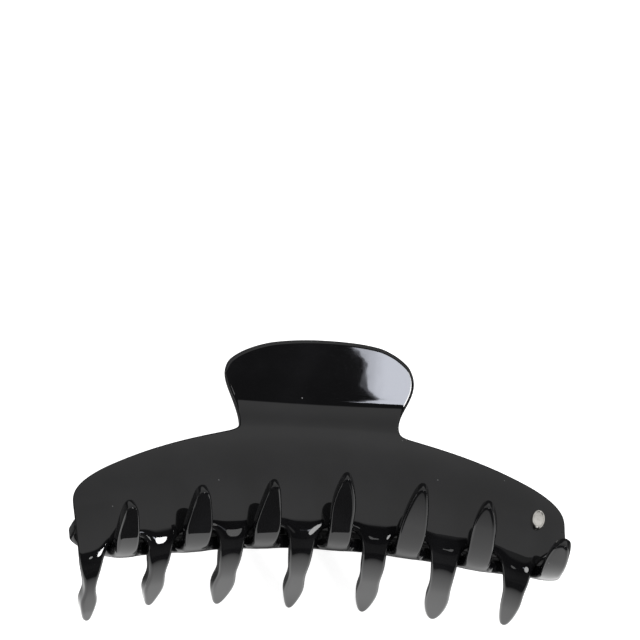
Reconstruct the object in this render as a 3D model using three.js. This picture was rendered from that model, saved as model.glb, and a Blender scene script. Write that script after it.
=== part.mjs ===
// A hair claw clip in black acetate: two jaws cut from one flat blank, bent warm and hinged on a steel pin.
// The second jaw is the first one turned half round about the clip's upright axis.
// Units are millimetres. The jaws are drawn in the clip's own frame: X along its length, Z up to the handles,
// the first jaw in front at -Y. At the end the clip is laid on its back as it rests on a table, +Z up.

import * as THREE from 'three';
import { mergeVertices } from 'three/addons/utils/BufferGeometryUtils.js';

// Blank
const clipLength = 110;
const sheetThickness = 3.2;
const edgeChamfer = 0.75;
const probeStep = 0.05;
const halfLength = clipLength / 2;
const halfThickness = sheetThickness / 2;

// Profile of the bent blank, from the handle's top edge down to the longest tooth's tip.
// An angle is measured from straight down, and is positive towards the other jaw.
const handleFlat = 12.8;
const neckBendLength = 10.2;
const panelBendLength = 24.6;
const rootBendLength = 4.1;
const hookBendLength = 6.8;
const longestToothLength = 21.9;
const handleAngle = 48;
const neckAngle = -6;
const rimAngle = 44;
const hookAngle = 72;
const toothAngle = 96;
const tipAngle = 101;
const rimHalfGap = 1.75;
const archDrop = 10.8;
const archFade = 15.2;
const endCurl = 4.2;
const endCurlPower = 6;
const curlStartToRim = 9.6;
const endCurlLength = 26;
const rimHeight = 4.5;

// Handle outline
const handleHalfWidth = 21.75;
const handleCrown = 8.1;
const crownPower = 2.2;
const crownEndShare = 0.98;
const neckHalfWidth = 17.9;
const neckPlace = 19.6;
const shoulderHalfWidth = 19.6;
const shoulderPlace = 22.6;

// Shoulder of the panel, from the neck to the nose at the clip's end
const noseToRim = 9.9;
const noseFlat = 1.2;
const shoulderReach = 35.5;
const shoulderFall = 26.3;
const noseRise = 27.9;

// Teeth
const rootDrop = 1.9;
const gulletRise = 3.2;
const toothWidth = 4.6;
const tipPoint = 0.4;
const toothPlaceShares = [-0.927, -0.655, -0.372, -0.073, 0.229, 0.515, 0.795];
const toothLengthShares = [0.82, 0.845, 0.945, 1, 0.96, 0.89, 0.735];
const toothWidthShares = [0.84, 0.98, 1.05, 1, 1.04, 1.04, 0.92];
const rowPlaceShares = [0, 0.1, 0.2, 0.3, 0.41, 0.53, 0.66, 0.79, 0.9, 1];
const rowWidthShares = [1.2, 1.1, 1.03, 0.98, 0.97, 1, 1.01, 0.87, 0.65, 0.42];
const cheekReach = 0.5;
const cheekRise = 4;
const cheekSpan = 1.5;
const cheekFall = 7;

// Hinge
const pinRise = 4;
const pinDiameter = 2;
const boreClearance = 0.35;
const eyeDiameter = 7.2;
const lugThickness = 2.6;
const lugHalfHeight = 4.6;
const lugGap = 0.4;
const seatGap = 0.3;
const headDiameter = 3.6;
const headHeight = 0.8;
const headGap = 0.3;
const pinSides = 20;

// Torsion spring
const wireDiameter = 1.2;
const coilDiameter = 6;
const coilGap = 0.6;
const coilPitch = wireDiameter + coilGap;
const coilWholeTurns = 4;
const legPlace = 10.5;
const springEndGap = 0.5;
const coilSteps = 8;
const wireSides = 5;

// Plain oval stud
const studPlace = 37;
const studEndDistance = 6.6;
const studWidth = 3;
const studHeight = 4.6;
const studRise = 0.7;
const studWallShare = 0.4;
const studBevelShare = 0.8;
const studTopShare = 0.4;

// Mesh counts
const bendSteps = 60;
const panelRows = 8;
const handleRows = 11;
const handleRowPower = 1.3;
const gulletCells = 5;
const cheekCells = 5;
const seatSteps = 6;
const eyeSegments = 12;
const studSides = 20;

// Profile

const bends = [
  { length: handleFlat, from: handleAngle, to: handleAngle },
  { length: neckBendLength, from: handleAngle, to: neckAngle },
  { length: panelBendLength, from: neckAngle, to: rimAngle },
  { length: rootBendLength, from: rimAngle, to: hookAngle },
  { length: hookBendLength, from: hookAngle, to: toothAngle },
  { length: longestToothLength, from: toothAngle, to: tipAngle },
];

function bendProfile() {
  const points = [{ s: 0, y: 0, z: 0 }];
  for (const bend of bends) {
    const step = bend.length / bendSteps;
    for (let i = 0; i < bendSteps; i += 1) {
      const last = points[points.length - 1];
      const middle = THREE.MathUtils.degToRad(bend.from + (bend.to - bend.from) * (i + 0.5) / bendSteps);
      points.push({
        s: last.s + step,
        y: last.y + Math.sin(middle) * step,
        z: last.z - Math.cos(middle) * step,
      });
    }
  }
  return points;
}

// Places on the blank where a bend ends, counted from the handle's top edge
const neckEndPlace = handleFlat + neckBendLength;
const rimPlace = neckEndPlace + panelBendLength;
const rootLine = rimPlace + rootDrop;
const nosePlace = rimPlace - noseToRim;
const endCurlStart = rimPlace - curlStartToRim;

const profile = bendProfile();
const neckEnd = profile[2 * bendSteps];
const rimEnd = profile[3 * bendSteps];
const profileShift = { y: -rimHalfGap - rimEnd.y, z: rimHeight - rimEnd.z };
const pinHeight = neckEnd.z + profileShift.z + pinRise;

function profileAt(s) {
  let index = profile.findIndex((point) => point.s >= s);
  index = index < 0 ? profile.length - 1 : Math.max(index, 1);
  const low = profile[index - 1];
  const high = profile[index];
  const share = (s - low.s) / (high.s - low.s);
  return {
    y: low.y + (high.y - low.y) * share + profileShift.y,
    z: low.z + (high.z - low.z) * share + profileShift.z,
  };
}

function smooth(share) {
  const t = THREE.MathUtils.clamp(share, 0, 1);
  return t * t * (3 - 2 * t);
}

// The blank's middle layer once it is bent: an arch along the clip, with both ends curled in.
function middleLayer(x, s) {
  const at = profileAt(s);
  const fade = smooth((s - handleFlat) / archFade);
  const across = Math.abs(x) / halfLength;
  const drop = archDrop * across ** 2 * fade;
  const curlShare = 1 - THREE.MathUtils.clamp((s - endCurlStart) / endCurlLength, 0, 1);
  const curl = endCurl * across ** endCurlPower * curlShare * fade;
  return new THREE.Vector3(x, at.y + curl, at.z - drop + curl);
}

// Takes a place on the flat blank to its place on the bent jaw; outward is the distance from the middle layer.
function bent(x, s, outward) {
  const spot = middleLayer(x, s);
  const along = middleLayer(x + probeStep, s).sub(middleLayer(x - probeStep, s));
  const down = middleLayer(x, s + probeStep).sub(middleLayer(x, Math.max(s - probeStep, 0)));
  return spot.addScaledVector(down.cross(along).normalize(), outward);
}

// Flat blank

function crownPlace(x) {
  const share = Math.min(Math.abs(x) / handleHalfWidth, 1);
  return handleCrown * (1 - Math.sqrt(1 - share ** crownPower));
}

function handleSide(s) {
  if (s < handleCrown) {
    return handleHalfWidth * (1 - (1 - s / handleCrown) ** 2) ** (1 / crownPower);
  }
  if (s < neckPlace) {
    const share = smooth((s - handleCrown) / (neckPlace - handleCrown));
    return handleHalfWidth - (handleHalfWidth - neckHalfWidth) * share;
  }
  const share = Math.min((s - neckPlace) / (shoulderPlace - neckPlace), 1);
  return neckHalfWidth + (shoulderHalfWidth - neckHalfWidth) * (1 - Math.sqrt(1 - share ** 2));
}

const shoulder = new THREE.CubicBezierCurve(
  new THREE.Vector2(shoulderHalfWidth, shoulderPlace),
  new THREE.Vector2(shoulderReach, shoulderFall),
  new THREE.Vector2(halfLength, noseRise),
  new THREE.Vector2(halfLength, nosePlace - noseFlat),
);

function makeTeeth() {
  return toothPlaceShares.map((share, i) => ({
    centre: share * halfLength,
    length: toothLengthShares[i] * longestToothLength,
    width: toothWidthShares[i] * toothWidth,
  }));
}

const teeth = makeTeeth();

function toothHalfRoot(tooth) {
  return tooth.width * rowWidthShares[0] / 2;
}

// A column of the panel runs from its place on the top edge to its place on the lower edge.
function makeColumns() {
  const columns = [];
  teeth.forEach((tooth, i) => {
    const half = toothHalfRoot(tooth);
    for (const side of [-1, 0, 1]) {
      columns.push({ x: tooth.centre + side * half, s: rootLine, tooth: i });
    }
    if (i + 1 < teeth.length) {
      const from = tooth.centre + half;
      const to = teeth[i + 1].centre - toothHalfRoot(teeth[i + 1]);
      for (let k = 1; k < gulletCells; k += 1) {
        const angle = Math.PI * k / gulletCells;
        const x = (from + to) / 2 - Math.cos(angle) * (to - from) / 2;
        columns.push({ x, s: rootLine - gulletRise * Math.sqrt(Math.sin(angle)) });
      }
    }
  });
  const last = columns[columns.length - 1];
  const cheek = new THREE.CubicBezierCurve(
    new THREE.Vector2(last.x, last.s),
    new THREE.Vector2(last.x + cheekReach, last.s - cheekRise),
    new THREE.Vector2(halfLength - cheekSpan, last.s - cheekFall),
    new THREE.Vector2(halfLength, nosePlace + noseFlat),
  );
  for (let k = 1; k <= cheekCells; k += 1) {
    const point = cheek.getPoint(k / cheekCells);
    columns.push({ x: point.x, s: point.y });
  }
  return columns;
}

// The top ends of the columns are spread along the neck's line and, outside it, along the two shoulders.
function placeTops(columns) {
  const nearest = (x) => columns.reduce((best, column) => (
    Math.abs(column.x - x) < Math.abs(best.x - x) ? column : best));
  const left = columns.indexOf(nearest(-shoulderHalfWidth));
  const right = columns.indexOf(nearest(shoulderHalfWidth));
  columns.forEach((column, i) => {
    column.inHandle = i >= left && i <= right;
    column.topX = column.x;
    column.topS = shoulderPlace;
    if (i <= left) {
      const top = shoulder.getPoint((left - i) / left);
      column.topX = -top.x;
      column.topS = top.y;
    }
    if (i >= right) {
      const top = shoulder.getPoint((i - right) / (columns.length - 1 - right));
      column.topX = top.x;
      column.topS = top.y;
    }
  });
  return columns;
}

function makeBlank() {
  const points = [];
  const faces = [];
  const addPoint = (x, s) => points.push(new THREE.Vector2(x, s)) - 1;
  const addStrip = (before, after) => {
    for (let i = 0; i + 1 < before.length; i += 1) {
      faces.push([before[i], after[i], after[i + 1], before[i + 1]]);
    }
  };
  const columns = placeTops(makeColumns());

  const panel = [];
  for (let row = 0; row <= panelRows; row += 1) {
    const share = row / panelRows;
    panel.push(columns.map((column) => addPoint(
      column.topX + (column.x - column.topX) * share,
      column.topS + (column.s - column.topS) * share,
    )));
  }
  for (let row = 0; row < panelRows; row += 1) {
    addStrip(panel[row], panel[row + 1]);
  }

  const inner = columns.map((column, i) => i).filter((i) => columns[i].inHandle);
  let below = inner.map((i) => panel[0][i]);
  const crownHalf = handleHalfWidth * crownEndShare;
  const crownSide = crownPlace(crownHalf);
  for (let row = 1; row <= handleRows; row += 1) {
    const share = (row / handleRows) ** handleRowPower;
    const side = shoulderPlace + (crownSide - shoulderPlace) * share;
    const half = row === handleRows ? crownHalf : handleSide(side);
    const above = inner.map((i) => {
      const across = columns[i].topX / shoulderHalfWidth;
      const top = crownPlace(across * crownHalf);
      return addPoint(across * half, shoulderPlace + (top - shoulderPlace) * share);
    });
    addStrip(above, below);
    below = above;
  }

  teeth.forEach((tooth, number) => {
    let before = columns.map((column, i) => i).filter((i) => columns[i].tooth === number)
      .map((i) => panel[panelRows][i]);
    for (let row = 1; row < rowPlaceShares.length; row += 1) {
      const isTip = row === rowPlaceShares.length - 1;
      const half = tooth.width * rowWidthShares[row] / 2;
      const s = rootLine + tooth.length * rowPlaceShares[row];
      const after = [-1, 0, 1].map((side) => addPoint(
        tooth.centre + side * half,
        isTip && side !== 0 ? s - tipPoint : s,
      ));
      addStrip(before, after);
      before = after;
    }
  });
  return { points, faces };
}

// The outline of the blank is every face edge that belongs to one face only.
function outlineEdges(faces) {
  const edges = new Map();
  for (const face of faces) {
    for (let i = 0; i < face.length; i += 1) {
      const a = face[i];
      const b = face[(i + 1) % face.length];
      const back = `${b},${a}`;
      if (edges.has(back)) {
        edges.delete(back);
      } else {
        edges.set(`${a},${b}`, [a, b]);
      }
    }
  }
  return [...edges.values()];
}

function makeJaw() {
  const { points, faces } = makeBlank();
  const edges = outlineEdges(faces);
  const inward = new Map();
  for (const [a, b] of edges) {
    const along = points[b].clone().sub(points[a]).normalize();
    const normal = new THREE.Vector2(-along.y, along.x);
    for (const index of [a, b]) {
      inward.set(index, (inward.get(index) ?? new THREE.Vector2()).add(normal));
    }
  }
  const corners = faces[0].map((index) => points[index]);
  const turn = Math.sign(corners[1].clone().sub(corners[0]).cross(corners[2].clone().sub(corners[1])));

  const positions = [];
  const indices = [];
  const place = (point, outward) => {
    const spot = bent(point.x, point.y, outward);
    positions.push(spot.x, spot.y, spot.z);
    return positions.length / 3 - 1;
  };
  const inset = points.map((point, index) => {
    const normal = inward.get(index);
    if (!normal) {
      return point;
    }
    return point.clone().addScaledVector(normal.normalize(), turn * edgeChamfer);
  });
  const outer = inset.map((point) => place(point, halfThickness));
  const inner = inset.map((point) => place(point, -halfThickness));
  const upper = new Map();
  const lower = new Map();
  for (const index of inward.keys()) {
    upper.set(index, place(points[index], halfThickness - edgeChamfer));
    lower.set(index, place(points[index], edgeChamfer - halfThickness));
  }
  const addQuad = (a, b, c, d) => indices.push(a, b, c, a, c, d);
  for (const face of faces) {
    addQuad(...face.map((index) => outer[index]));
    addQuad(...face.map((index) => inner[index]).reverse());
  }
  for (const [a, b] of edges) {
    addQuad(outer[b], outer[a], upper.get(a), upper.get(b));
    addQuad(upper.get(b), upper.get(a), lower.get(a), lower.get(b));
    addQuad(lower.get(b), lower.get(a), inner[a], inner[b]);
  }
  return closedGeometry(positions, indices);
}

// Turns the triangles round where their volume comes out negative, so that every face points out.
function closedGeometry(positions, indices) {
  let volume = 0;
  const corner = (index) => new THREE.Vector3().fromArray(positions, 3 * index);
  for (let i = 0; i < indices.length; i += 3) {
    volume += corner(indices[i]).dot(corner(indices[i + 1]).cross(corner(indices[i + 2])));
  }
  const triangles = [...indices];
  if (volume < 0) {
    triangles.reverse();
  }
  const geometry = new THREE.BufferGeometry();
  geometry.setAttribute('position', new THREE.Float32BufferAttribute(positions, 3));
  geometry.setIndex(triangles);
  return geometry;
}

// How the spring winds: from the angle where one leg leaves the coil to the angle where the other does
function springWinding() {
  const legEnd = bent(0, legPlace, -halfThickness - seatGap - wireDiameter / 2);
  const reach = Math.hypot(legEnd.y, legEnd.z - pinHeight);
  const legAngle = Math.atan2(legEnd.z - pinHeight, legEnd.y);
  const lead = Math.acos(coilDiameter / 2 / reach);
  const start = legAngle + lead;
  const end = Math.PI - legAngle - lead + 2 * Math.PI * (coilWholeTurns + 1);
  return { legEnd, start, end, halfCoil: (end - start) / (2 * Math.PI) * coilPitch / 2 };
}

const winding = springWinding();

// Hinge lugs, clear of the spring's ends

const lugInner = winding.halfCoil + wireDiameter / 2 + springEndGap;
const lugOuter = lugInner + lugThickness + lugGap;
const alongX = new THREE.Matrix4().makeBasis(
  new THREE.Vector3(0, 1, 0),
  new THREE.Vector3(0, 0, 1),
  new THREE.Vector3(1, 0, 0),
);

function profilePlaceAtHeight(height) {
  let best = 0;
  let least = Infinity;
  for (const point of profile) {
    const away = Math.abs(point.z + profileShift.z - height);
    if (point.s < rimPlace && away < least) {
      least = away;
      best = point.s;
    }
  }
  return best;
}

function makeLug(startX) {
  const top = profilePlaceAtHeight(pinHeight + lugHalfHeight);
  const bottom = profilePlaceAtHeight(pinHeight - lugHalfHeight);
  const seat = [];
  for (let i = 0; i <= seatSteps; i += 1) {
    const s = top + (bottom - top) * i / seatSteps;
    const spot = bent(startX + lugThickness / 2, s, -halfThickness - seatGap);
    seat.push(new THREE.Vector2(spot.y, spot.z));
  }
  const eye = eyeDiameter / 2;
  const shape = new THREE.Shape();
  shape.moveTo(seat[0].x, seat[0].y);
  seat.slice(1).forEach((point) => shape.lineTo(point.x, point.y));
  shape.absarc(0, pinHeight, eye, -Math.PI / 2, Math.PI / 2, false);
  shape.closePath();
  const bore = new THREE.Path();
  bore.absarc(0, pinHeight, pinDiameter / 2 + boreClearance, 0, 2 * Math.PI, true);
  shape.holes.push(bore);
  const geometry = new THREE.ExtrudeGeometry(shape, {
    depth: lugThickness,
    bevelEnabled: false,
    curveSegments: eyeSegments,
  });
  geometry.applyMatrix4(alongX);
  geometry.translate(startX, 0, 0);
  return geometry;
}

// Pin with a riveted head at each end

function makePin() {
  const head = lugOuter + lugThickness + headGap;
  const radius = pinDiameter / 2;
  const headRadius = headDiameter / 2;
  const points = [
    new THREE.Vector2(0, -head - headHeight),
    new THREE.Vector2(radius, -head - headHeight),
    new THREE.Vector2(headRadius, -head - headHeight / 2),
    new THREE.Vector2(headRadius, -head),
    new THREE.Vector2(radius, -head),
    new THREE.Vector2(radius, head),
    new THREE.Vector2(headRadius, head),
    new THREE.Vector2(headRadius, head + headHeight / 2),
    new THREE.Vector2(radius, head + headHeight),
    new THREE.Vector2(0, head + headHeight),
  ];
  const geometry = new THREE.LatheGeometry(points, pinSides);
  geometry.rotateZ(-Math.PI / 2);
  geometry.translate(0, 0, pinHeight);
  return geometry;
}

// Torsion spring: a helix on the pin with two straight legs that press the handles apart

function springPath() {
  const { legEnd, start, end, halfCoil } = winding;
  const radius = coilDiameter / 2;
  const steps = Math.round((end - start) / (2 * Math.PI) * coilSteps);
  const path = [new THREE.Vector3(-halfCoil, legEnd.y, legEnd.z)];
  for (let i = 0; i <= steps; i += 1) {
    const share = i / steps;
    const angle = start + (end - start) * share;
    path.push(new THREE.Vector3(
      -halfCoil + 2 * halfCoil * share,
      radius * Math.cos(angle),
      pinHeight + radius * Math.sin(angle),
    ));
  }
  path.push(new THREE.Vector3(halfCoil, -legEnd.y, legEnd.z));
  return path;
}

function leastGap(path) {
  const skip = coilSteps / 2;
  let least = Infinity;
  const spot = new THREE.Vector3();
  for (let i = 0; i + 1 < path.length; i += 1) {
    for (let j = i + skip; j + 1 < path.length; j += 1) {
      const line = new THREE.Line3(path[j], path[j + 1]);
      for (let k = 0; k <= coilSteps; k += 1) {
        const point = path[i].clone().lerp(path[i + 1], k / coilSteps);
        line.closestPointToPoint(point, true, spot);
        least = Math.min(least, spot.distanceTo(point));
      }
    }
  }
  return least - wireDiameter;
}

function makeSpring() {
  const path = springPath();
  console.log(`least gap of the spring to itself: ${leastGap(path).toFixed(2)} mm`);
  const positions = [];
  const indices = [];
  const pinAxis = new THREE.Vector3(1, 0, 0);
  path.forEach((point, i) => {
    const before = path[Math.max(i - 1, 0)];
    const after = path[Math.min(i + 1, path.length - 1)];
    const along = after.clone().sub(before).normalize();
    const first = pinAxis.clone().addScaledVector(along, -pinAxis.dot(along)).normalize();
    const second = along.clone().cross(first);
    for (let k = 0; k < wireSides; k += 1) {
      const angle = 2 * Math.PI * k / wireSides;
      const spot = point.clone()
        .addScaledVector(first, Math.cos(angle) * wireDiameter / 2)
        .addScaledVector(second, Math.sin(angle) * wireDiameter / 2);
      positions.push(spot.x, spot.y, spot.z);
    }
  });
  for (let i = 0; i + 1 < path.length; i += 1) {
    for (let k = 0; k < wireSides; k += 1) {
      const a = i * wireSides + k;
      const b = i * wireSides + (k + 1) % wireSides;
      indices.push(a, b, b + wireSides, a, b + wireSides, a + wireSides);
    }
  }
  const last = (path.length - 1) * wireSides;
  for (let k = 1; k + 1 < wireSides; k += 1) {
    indices.push(0, k + 1, k);
    indices.push(last, last + k, last + k + 1);
  }
  return closedGeometry(positions, indices);
}

// Plain oval stud, seated on the panel near the clip's end

function makeStud() {
  const dome = [
    new THREE.Vector2(0, 0),
    new THREE.Vector2(1, 0),
    new THREE.Vector2(1, studWallShare),
    new THREE.Vector2(studBevelShare, studBevelShare),
    new THREE.Vector2(studTopShare, 1),
    new THREE.Vector2(0, 1),
  ];
  const geometry = new THREE.LatheGeometry(dome, studSides);
  geometry.scale(studWidth / 2, studRise, studHeight / 2);
  const x = halfLength - studEndDistance;
  const base = bent(x, studPlace, halfThickness + seatGap);
  const outward = bent(x, studPlace, halfThickness).sub(bent(x, studPlace, -halfThickness)).normalize();
  const acrossStep = bent(x + seatGap, studPlace, halfThickness + seatGap).sub(base);
  const across = acrossStep.addScaledVector(outward, -acrossStep.dot(outward)).normalize();
  const along = across.clone().cross(outward);
  geometry.applyMatrix4(new THREE.Matrix4().makeBasis(across, outward, along));
  geometry.translate(base.x, base.y, base.z);
  return geometry;
}

// Materials

const acetate = new THREE.MeshStandardMaterial({ color: 0x0a0a0b, roughness: 0.06, metalness: 0 });
const lugAcetate = new THREE.MeshStandardMaterial({ color: 0x0d0d0e, roughness: 0.2, metalness: 0 });
const steel = new THREE.MeshStandardMaterial({ color: 0xa8abb0, roughness: 0.3, metalness: 1 });
const springSteel = new THREE.MeshStandardMaterial({ color: 0x8e9196, roughness: 0.35, metalness: 1 });
const polished = new THREE.MeshStandardMaterial({ color: 0xc9c6bd, roughness: 0.18, metalness: 1 });

// Assembly

function named(name, geometry, material) {
  for (const extra of ['normal', 'uv']) {
    geometry.deleteAttribute(extra);
  }
  const closed = mergeVertices(geometry);
  closed.computeVertexNormals();
  const mesh = new THREE.Mesh(closed, material);
  mesh.name = name;
  return mesh;
}

function jawGroup(prefix) {
  const group = new THREE.Group();
  group.add(named(`${prefix}_jaw`, makeJaw(), acetate));
  group.add(named(`${prefix}_lug_outer`, makeLug(-lugOuter - lugThickness), lugAcetate));
  group.add(named(`${prefix}_lug_inner`, makeLug(lugInner), lugAcetate));
  return group;
}

const upper = jawGroup('upper');
upper.add(named('plain_stud', makeStud(), polished));
const lower = jawGroup('lower');
lower.rotation.z = Math.PI;

const clip = new THREE.Group();
clip.add(upper, lower);
clip.add(named('hinge_pin', makePin(), steel));
clip.add(named('torsion_spring', makeSpring(), springSteel));

// The clip lies on the lower handle's top edge and on the longest upper teeth.
const handleEdge = bent(0, edgeChamfer, halfThickness);
const toothTip = bent(0, rootLine + longestToothLength, 0);
const restTilt = Math.atan2(-handleEdge.y - toothTip.y, handleEdge.z - toothTip.z);
clip.rotation.x = restTilt - Math.PI / 2;

const part = new THREE.Group();
part.name = 'hair_clip';
part.add(clip);
part.updateMatrixWorld(true);
const box = new THREE.Box3().setFromObject(part, true);
const middle = box.getCenter(new THREE.Vector3());
clip.position.set(-middle.x, -middle.y, -box.min.z);
part.updateMatrixWorld(true);

export default part;
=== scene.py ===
"""Hair claw clip in black acetate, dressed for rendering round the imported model.

Two jaws cut from a flat blank and bent warm, two hinge lugs in each, a riveted steel pin, a torsion spring
and a plain oval stud. Sizes are in metres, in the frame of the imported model.
"""

import math
from collections import namedtuple

import bpy
import numpy as np
from bpy.props import FloatProperty, FloatVectorProperty, PointerProperty
from mathutils import Matrix, Vector


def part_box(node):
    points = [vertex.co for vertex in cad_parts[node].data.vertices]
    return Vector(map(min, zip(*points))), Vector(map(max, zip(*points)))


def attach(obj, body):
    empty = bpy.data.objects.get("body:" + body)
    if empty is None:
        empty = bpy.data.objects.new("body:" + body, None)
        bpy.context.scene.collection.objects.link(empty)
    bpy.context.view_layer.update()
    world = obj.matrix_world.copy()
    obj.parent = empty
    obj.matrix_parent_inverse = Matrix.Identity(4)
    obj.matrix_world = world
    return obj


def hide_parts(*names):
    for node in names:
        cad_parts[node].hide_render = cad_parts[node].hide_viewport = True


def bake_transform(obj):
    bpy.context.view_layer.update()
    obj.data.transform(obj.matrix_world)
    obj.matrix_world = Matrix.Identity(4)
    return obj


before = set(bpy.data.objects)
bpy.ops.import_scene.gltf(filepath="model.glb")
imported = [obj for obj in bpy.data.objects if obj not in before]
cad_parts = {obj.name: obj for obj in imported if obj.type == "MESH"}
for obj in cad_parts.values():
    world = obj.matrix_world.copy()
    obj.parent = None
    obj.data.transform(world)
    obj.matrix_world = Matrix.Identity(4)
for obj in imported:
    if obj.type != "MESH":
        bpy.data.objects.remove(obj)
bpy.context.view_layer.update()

bl_info = {
    "name": "Hair claw clip",
    "version": (1, 0, 0),
    "blender": (4, 5, 0),
    "location": "3D View > Sidebar > Hair clip",
    "description": "Builds an acetate hair claw clip with its hinge, spring and stud",
    "category": "Add Mesh",
}

MM = 0.001

# Blank: how the outline of the flat sheet is drawn
PANEL_ROWS = 8
HANDLE_ROWS = 11
HANDLE_ROW_POWER = 1.3
GULLET_CELLS = 5
CHEEK_CELLS = 5
LEFT_CROWN_POWER = 2.2
RIGHT_CROWN_POWER = 3.2
CORNER_CROWDING = 0.5
CROWN_END_SHARE = 0.98
EDGE_RINGS = (0.2, 0.4, 0.33)
BLANK_SUBDIVISIONS = 2
HALF_CELL = 0.5
OUTLINE_CHUNK = 2000

# A column of the blank: its place on the lower edge, and where it is a tooth's, which tooth and which side
Column = namedtuple("Column", "x s tooth side")

# Teeth from the jaw's left end, in millimetres: place, length, lean of the tip, and widths from root to tip
Tooth = namedtuple("Tooth", "place length lean widths")
UPPER_TEETH = (
    Tooth(-50.85, 18.5, 0, (5.4, 4.6, 3.7, 2.9, 2.5, 3.1, 3.8, 3.6, 3, 2.4, 1.6)),
    Tooth(-35.8, 16.8, -1.2, (5.4, 5.1, 4.6, 3.8, 3.7, 4.2, 4.5, 4.2, 3.3, 2.4, 1.6)),
    Tooth(-19.7, 19.0, -1.5, (5.7, 5.3, 5.1, 4.6, 4, 4.6, 5.1, 4.8, 4, 2.9, 1.7)),
    Tooth(-3.9, 21.0, -0.5, (5.8, 5.4, 5.1, 4.6, 3.9, 4, 4.5, 4.5, 3.8, 2.7, 1.6)),
    Tooth(12.6, 20.6, -0.3, (5.8, 5.3, 5.4, 5.2, 4.6, 4.6, 5, 4.8, 4.1, 3, 1.7)),
    Tooth(28.2, 19.3, -0.1, (6.2, 5.8, 5.4, 5.1, 4.9, 5, 5.3, 5.1, 4.5, 3.4, 1.9)),
    Tooth(44.2, 15.5, -0.6, (6.2, 5.8, 5.1, 4.6, 4.5, 4.4, 4.1, 3.7, 3.2, 2.5, 1.7)),
)
LOWER_TEETH = (
    Tooth(-50.9, 15.2, -1.3, (5, 4.8, 4.6, 4.6, 4.7, 4.7, 4.6, 4.3, 3.8, 3.1, 2)),
    Tooth(-35.2, 19.9, 0.2, (5.8, 5.6, 5.5, 5.4, 5.4, 5.4, 5.3, 5, 4.3, 3.2, 1.9)),
    Tooth(-19.6, 21.2, -0.9, (6, 5.8, 5.8, 5.9, 6, 5.8, 5.4, 4.8, 4, 3.1, 1.8)),
    Tooth(-4.0, 21.8, 0.3, (5.9, 5.6, 5.3, 5.2, 5.1, 5.3, 5.4, 5, 4.2, 3, 1.7)),
    Tooth(12.6, 19.3, -0.5, (5.8, 5.4, 5.6, 5.9, 5.9, 5.5, 4.9, 4.3, 3.6, 2.9, 1.8)),
    Tooth(28.0, 18.7, -0.1, (6, 5.8, 5.8, 6, 6.1, 5.8, 5.2, 4.6, 4, 3.2, 2)),
    Tooth(43.7, 17.1, 0, (5.3, 5.2, 5.1, 5.1, 5, 4.8, 4.4, 4, 3.5, 2.9, 1.9)),
)
TOOTH_ROWS = len(UPPER_TEETH[0].widths) - 1
LEAN_POWER = 1.5

# Bend: how finely the profile is followed, and how softly one bend passes into the next
PROFILE_STEP = 0.1 * MM
BEND_BLEND = 0.5 * MM
LEAST_HEADING = math.radians(-2)
PROBE_STEP = 0.05 * MM
CURL_POWER = 6

# Hinge and stud: counts of the round forms, and the angles above which edges are bevelled or stay sharp
SEAT_STEPS = 8
EYE_STEPS = 15
COIL_TURNS = 4
COIL_STEPS = 28
WIRE_SIDES = 14
PIN_SIDES = 40
STUD_SIDES = 40
INNER_RING_SHARE = 0.5
LUG_BEVEL_STEPS = 3
LUG_BEVEL_ANGLE = math.radians(50)
PLATE_SHARP_ANGLE = math.radians(40)
ROD_SHARP_ANGLE = math.radians(50)

# A face whose normal has this much of a direction faces that way
FACING_SHARE = 0.9

# Pin's heads: the wall, then how the dome narrows and rises, in shares of size and of the head's height
HEAD_WALL_SHARE = 0.45
HEAD_STEPS = (
    (0.9, 0.3),
    (0.6, 0.2),
    (0.35, 0.05),
)
DIMPLE_INSET_SHARE = 0.03
DIMPLE_DEPTH_SHARE = 0.08

# Spring's legs: shares of the leg's length, with a narrowed tip
LEG_STEPS = (0.5, 0.47)
LEG_TIP_SHARE = 0.03
LEG_TIP_WIDTH = 0.7

# Stud: how far its wall stops below the rise, and how its oval narrows and rises over the rim to the dome,
# in shares of size and rise
STUD_WALL_DROP = 0.3
STUD_STEPS = (
    (0.98, 0.14),
    (0.96, 0.1),
    (0.94, 0.05),
    (0.94, 0.01),
    (0.94, -0.05),
    (0.95, -0.12),
    (0.9, 0.01),
    (0.85, 0.08),
    (0.8, 0.06),
    (0.7, 0.04),
    (0.5, 0.02),
)


# Settings

def length(name, millimetres, description):
    """A property that holds a length."""
    return FloatProperty(
        name=name,
        description=description,
        default=millimetres * MM,
        min=0,
        precision=5,
        subtype="DISTANCE",
        unit="LENGTH",
    )


def angle(name, degrees, description):
    """A property that holds an angle."""
    return FloatProperty(
        name=name,
        description=description,
        default=math.radians(degrees),
        subtype="ANGLE",
        unit="ROTATION",
    )


def colour(name, value, description):
    """A property that holds a colour."""
    return FloatVectorProperty(
        name=name,
        description=description,
        default=value,
        min=0,
        max=1,
        size=3,
        subtype="COLOR",
    )


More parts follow.
